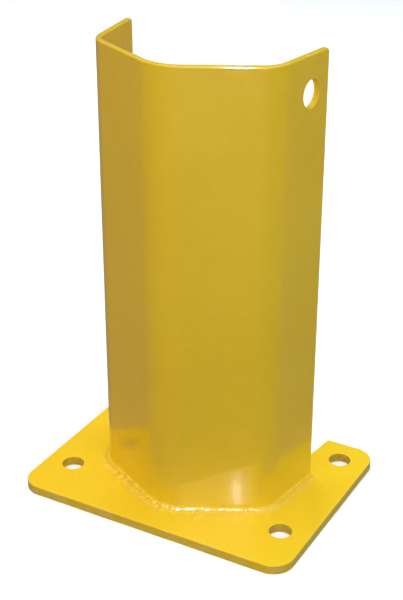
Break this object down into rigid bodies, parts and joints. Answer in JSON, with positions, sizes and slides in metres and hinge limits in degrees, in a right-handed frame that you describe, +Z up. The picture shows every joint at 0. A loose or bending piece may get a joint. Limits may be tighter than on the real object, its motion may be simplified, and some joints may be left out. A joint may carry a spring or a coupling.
{
  "type": "rack post protector",
  "caption": "Floor-mounted steel protector for a storage rack post: a V-nosed bent guard welded upright on a notched base plate with anchor holes",
  "frame": {"origin": "centre of the base plate's underside, on the floor", "axes": "+Z up; -Y is the front, where the guard's nose points; +Y is the open back; +X is to the right seen from the front"},
  "size_m": [0.3048, 0.2286, 0.4667],
  "materials": {
    "base_plate": "glossy safety-yellow powder coat",
    "guard_plate": "glossy safety-yellow powder coat",
    "weld": "glossy safety-yellow powder coat over the weld bead"
  },
  "bodies": {
    "root": {"base_plate": "base_plate", "guard_plate": "guard_plate", "weld_right_panel": "weld", "weld_right_flange": "weld", "weld_left_panel": "weld", "weld_left_flange": "weld"}
  },
  "joints": []
}
